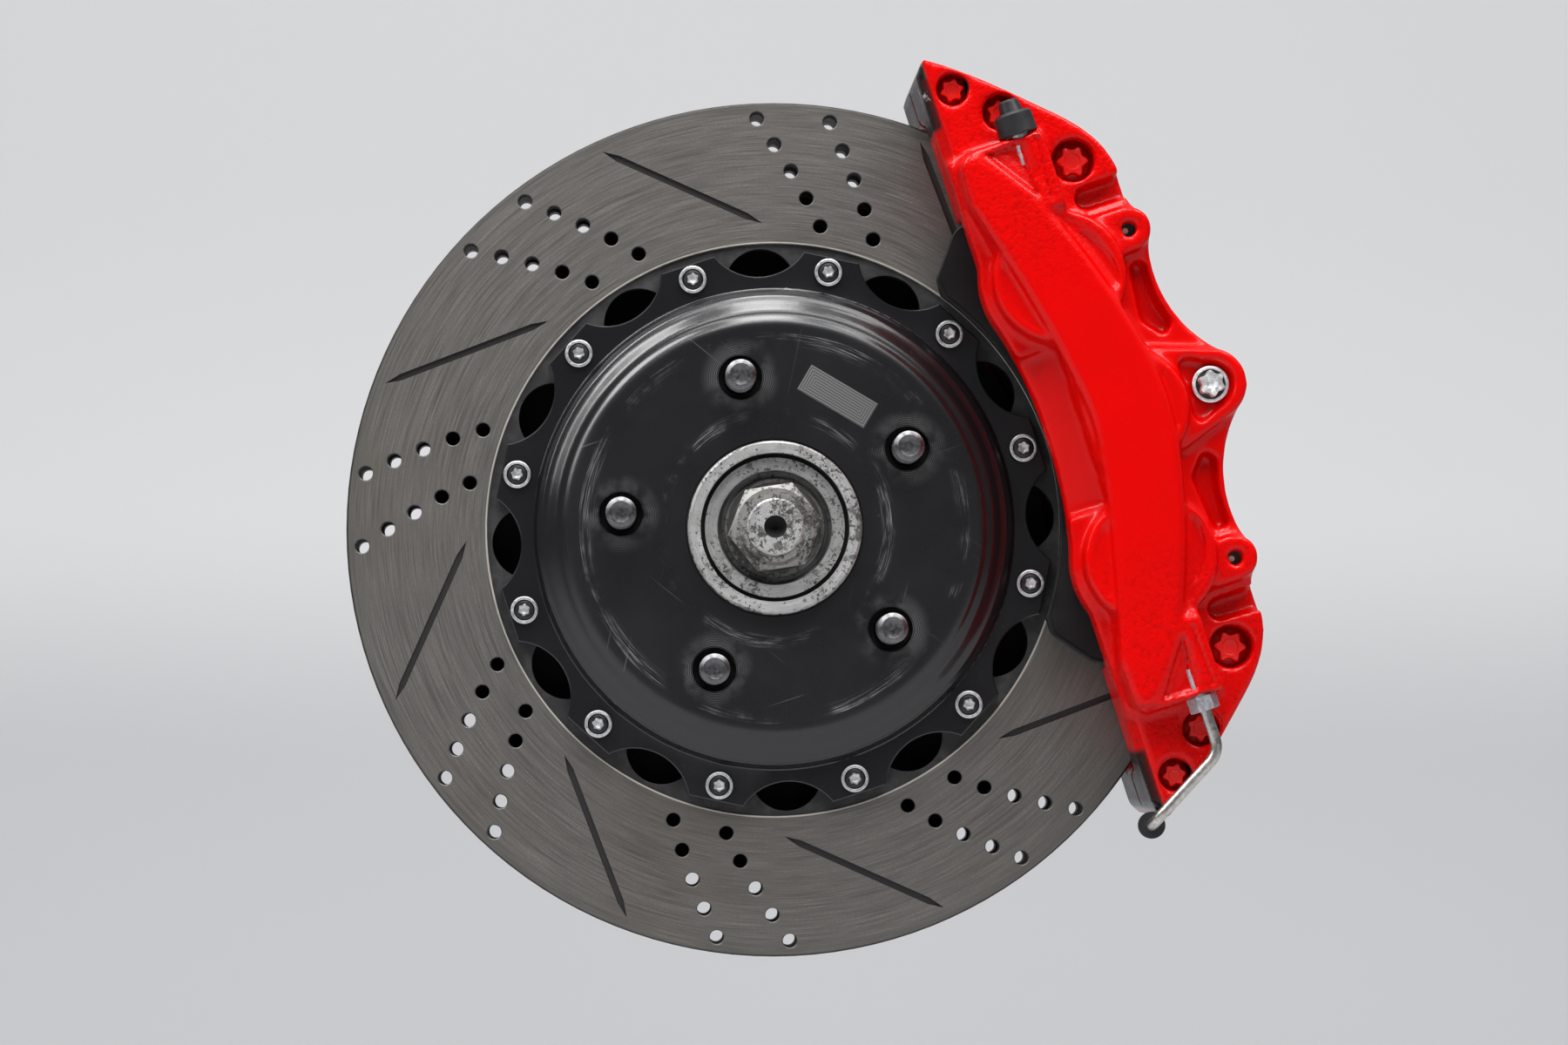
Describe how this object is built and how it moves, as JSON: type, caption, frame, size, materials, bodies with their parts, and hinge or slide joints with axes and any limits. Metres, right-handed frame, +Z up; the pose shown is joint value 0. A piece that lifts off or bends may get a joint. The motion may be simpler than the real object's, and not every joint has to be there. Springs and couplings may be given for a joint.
{
  "type": "brake caliper with disc",
  "caption": "Drilled and slotted two-piece brake disc on its wheel hub, with a fixed multi-piston brake calliper, bracket and dust shield.",
  "frame": {"origin": "centre of the wheel seat, the outboard face of the disc's hat, on the wheel axis", "axes": "+Y inboard along the axle, +Z up, +X to the right as seen from outboard; the calliper's centre line is 18 degrees above +X"},
  "size_m": [0.3763, 0.1528, 0.3678],
  "materials": {
    "friction_iron": "ground, fine concentric brushing with a satin sheen",
    "hat_black": "satin black anodised aluminium",
    "zinc_steel": "bright zinc",
    "hub_steel": "machined steel with specks of rust",
    "stud_steel": "dark phosphated steel",
    "bearing_steel": "ground bearing steel",
    "brass_cage": "machined brass",
    "black_rubber": "matt black rubber",
    "shield_black": "black e-coat on pressed steel",
    "bracket_black": "black powder coat on steel plate",
    "caliper_red": "glossy red powder coat over cast aluminium",
    "red_bolt": "steel bolt heads painted with the calliper",
    "pad_black": "black painted backing plate",
    "friction_block": "sintered friction compound",
    "stainless": "stainless sheet",
    "piston_alloy": "hard anodised aluminium",
    "pipe_steel": "plated steel tube"
  },
  "bodies": {
    "root": {"bearing_outer": "hub_steel", "bearing_seals": "black_rubber", "dust_shield": "shield_black", "shield_screws": "zinc_steel", "caliper_bracket": "bracket_black", "caliper_outer": "caliper_red", "caliper_inner": "caliper_red", "bridge_bolts": "red_bolt", "center_bridge_bolt": "zinc_steel", "center_bridge_nut": "zinc_steel", "center_bridge_spacer": "zinc_steel", "caliper_mount_bolts": "zinc_steel", "caliper_mount_washers": "zinc_steel", "pad_pins": "stud_steel", "abutment_plates": "stainless", "piston_seals": "black_rubber", "piston_wipers": "black_rubber", "bleeder_screws": "zinc_steel", "bleeder_caps": "black_rubber", "pipe_nuts": "zinc_steel", "crossover_pipe": "pipe_steel", "pipe_sleeve": "black_rubber", "inlet_fitting": "zinc_steel"},
    "rotor": {"disc_ring": "friction_iron", "rotor_hat": "hat_black", "rotor_bolts": "zinc_steel", "rotor_washers": "zinc_steel", "rotor_nuts": "zinc_steel", "wheel_hub": "hub_steel", "wheel_studs": "stud_steel", "stub_axle": "hub_steel", "axle_washer": "hub_steel", "axle_nut": "hub_steel", "bearing_inner_race": "bearing_steel"},
    "bearing_set": {"bearing_rollers": "bearing_steel", "bearing_cages": "brass_cage"},
    "outer_pad": {"outer_pad_plate": "pad_black", "outer_pad_friction": "friction_block", "outer_pad_shim": "pad_black"},
    "inner_pad": {"inner_pad_plate": "pad_black", "inner_pad_friction": "friction_block", "inner_pad_shim": "pad_black"},
    "outer_piston_set": {"outer_pistons": "piston_alloy"},
    "inner_piston_set": {"inner_pistons": "piston_alloy"}
  },
  "joints": [
    {"name": "rotor_spin", "type": "hinge", "parent": "root", "child": "rotor", "pos_m": [0, 0.0345, 0], "axis": [0, 1, 0], "continuous": true},
    {"name": "bearing_spin", "type": "hinge", "parent": "root", "child": "bearing_set", "pos_m": [0, 0.057, 0], "axis": [0, 1, 0], "continuous": true},
    {"name": "outer_pad_slide", "type": "slide", "parent": "root", "child": "outer_pad", "axis": [0, 1, 0], "range_m": [-0.0015, 0.0004]},
    {"name": "outer_piston_slide", "type": "slide", "parent": "root", "child": "outer_piston_set", "axis": [0, 1, 0], "range_m": [-0.0015, 0.0004]},
    {"name": "inner_pad_slide", "type": "slide", "parent": "root", "child": "inner_pad", "axis": [0, -1, 0], "range_m": [-0.0015, 0.0004]},
    {"name": "inner_piston_slide", "type": "slide", "parent": "root", "child": "inner_piston_set", "axis": [0, -1, 0], "range_m": [-0.0015, 0.0004]}
  ],
  "couplings": [
    {"joint": "bearing_spin", "follows": "rotor_spin", "ratio": 0.43182},
    {"joint": "outer_piston_slide", "follows": "outer_pad_slide", "ratio": 1},
    {"joint": "inner_piston_slide", "follows": "inner_pad_slide", "ratio": 1}
  ]
}
